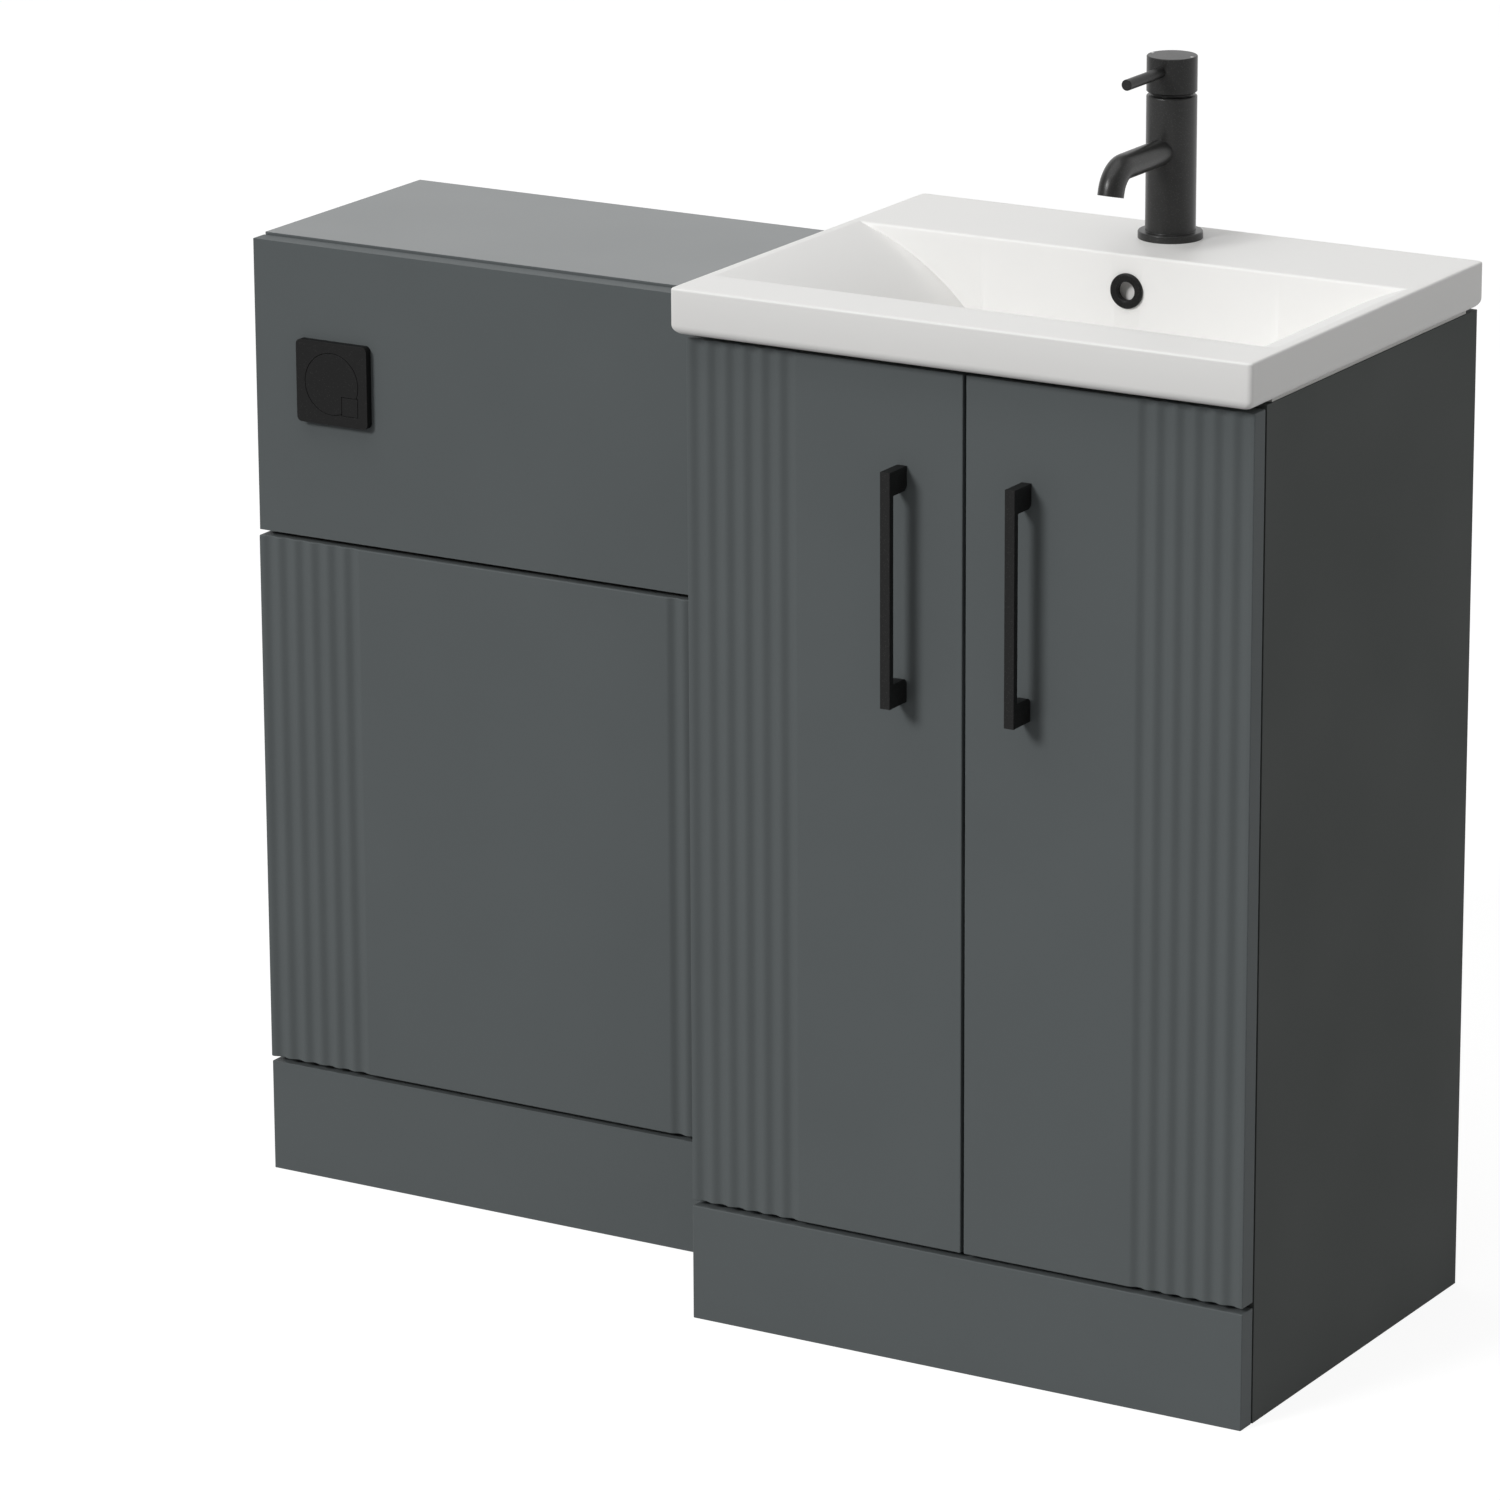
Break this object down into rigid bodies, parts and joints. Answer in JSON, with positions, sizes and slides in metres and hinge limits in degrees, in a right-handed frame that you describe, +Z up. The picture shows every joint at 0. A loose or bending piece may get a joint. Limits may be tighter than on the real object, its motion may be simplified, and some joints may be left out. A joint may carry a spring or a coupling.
{
  "type": "toilet and basin combination unit",
  "caption": "Bathroom combination unit: shallow back-to-wall toilet cabinet with flush plate beside a deeper two-door vanity with ceramic basin and mixer tap.",
  "frame": {"origin": "on the floor, under the centre of the bounding box of the whole unit", "axes": "+X along the front to the right as seen from the front, from the toilet unit to the basin unit; +Y back to the wall; +Z up"},
  "size_m": [1.005, 0.41, 1.0087],
  "materials": {
    "cabinet": "satin painted anthracite board",
    "raw_board": "bare pine and chipboard",
    "ceramic": "gloss white glaze",
    "matt_black_metal": "matt black coating",
    "black_plastic": "satin black",
    "white_plastic": "satin white",
    "grey_plastic": "satin light grey",
    "blue_plastic": "satin blue",
    "steel": "zinc-plated",
    "brass": "machined",
    "seal": "soft light grey",
    "tube": "soft blue tube",
    "chrome": "polished"
  },
  "bodies": {
    "cabinet": {"wc_left_side": "cabinet", "wc_right_side": "cabinet", "wc_fascia": "cabinet", "wc_lower_panel": "cabinet", "wc_plinth": "cabinet", "wc_front_rails": "raw_board", "wc_rear_rails": "raw_board", "wc_panel_studs": "white_plastic", "worktop_pegs": "raw_board", "cistern_tank": "white_plastic", "cistern_lid": "white_plastic", "cistern_screws": "steel", "fill_valve": "grey_plastic", "fill_valve_nut": "white_plastic", "flush_valve_body": "grey_plastic", "flush_pipe": "white_plastic", "flush_pipe_nut": "white_plastic", "air_tubes": "tube", "flush_plate": "black_plastic", "button_housing": "white_plastic", "button_nut": "white_plastic", "van_left_side": "cabinet", "van_right_side": "cabinet", "van_base": "cabinet", "van_shelf": "cabinet", "shelf_pins": "steel", "van_rails": "raw_board", "van_plinth": "cabinet", "plinth_blocks": "raw_board", "left_hinge_plates": "steel", "right_hinge_plates": "steel", "door_bumpers": "grey_plastic", "basin": "ceramic", "basin_seal": "seal", "overflow_ring": "matt_black_metal", "waste_body": "matt_black_metal", "waste_nut": "matt_black_metal", "bottle_trap": "white_plastic", "trap_pipe": "white_plastic", "tap_body": "matt_black_metal", "tap_aerator": "chrome", "tap_fixing": "steel"},
    "worktop": {"wc_worktop": "cabinet"},
    "door_left": {"left_door": "cabinet", "left_handle": "matt_black_metal", "left_handle_screws": "steel", "left_hinge_cups": "steel"},
    "door_right": {"right_door": "cabinet", "right_handle": "matt_black_metal", "right_handle_screws": "steel", "right_hinge_cups": "steel"},
    "float": {"fill_float": "blue_plastic"},
    "full_button": {"full_flush_button": "black_plastic"},
    "half_button": {"half_flush_button": "black_plastic"},
    "flush_core": {"flush_valve_core": "blue_plastic"},
    "plug": {"waste_plug": "matt_black_metal"},
    "tap_cartridge": {"tap_stem": "brass"},
    "tap_handle": {"tap_head": "matt_black_metal", "tap_pivot_pin": "steel", "tap_lever": "matt_black_metal"}
  },
  "joints": [
    {"name": "worktop_lift", "type": "slide", "parent": "cabinet", "child": "worktop", "axis": [0, 0, 1], "range_m": [0, 0.1]},
    {"name": "door_left_hinge", "type": "hinge", "parent": "cabinet", "child": "door_left", "pos_m": [-0.002, -0.1593, 0.46], "axis": [0, 0, -1], "range_deg": [0, 105]},
    {"name": "door_right_hinge", "type": "hinge", "parent": "cabinet", "child": "door_right", "pos_m": [0.497, -0.1593, 0.46], "axis": [0, 0, 1], "range_deg": [0, 105]},
    {"name": "float_slide", "type": "slide", "parent": "cabinet", "child": "float", "axis": [0, 0, 1], "range_m": [0, 0.06]},
    {"name": "full_button_press", "type": "slide", "parent": "cabinet", "child": "full_button", "axis": [0, 1, 0], "range_m": [0, 0.003], "stiffness_N_per_m": 600, "springref_m": -0.006},
    {"name": "half_button_press", "type": "slide", "parent": "cabinet", "child": "half_button", "axis": [0, 1, 0], "range_m": [0, 0.003], "stiffness_N_per_m": 600, "springref_m": -0.002},
    {"name": "flush_core_lift", "type": "slide", "parent": "cabinet", "child": "flush_core", "axis": [0, 0, 1], "range_m": [0, 0.012]},
    {"name": "plug_lift", "type": "slide", "parent": "cabinet", "child": "plug", "axis": [0, 0, 1], "range_m": [0, 0.01]},
    {"name": "tap_swivel", "type": "hinge", "parent": "cabinet", "child": "tap_cartridge", "pos_m": [0.2475, 0.158, 0.975], "axis": [0, 0, 1], "range_deg": [-45, 45]},
    {"name": "tap_tilt", "type": "hinge", "parent": "tap_cartridge", "child": "tap_handle", "pos_m": [0.2475, 0.17, 0.9825], "axis": [-1, 0, 0], "range_deg": [0, 16]}
  ],
  "couplings": [
    {"joint": "flush_core_lift", "follows": "full_button_press", "ratio": 4}
  ]
}
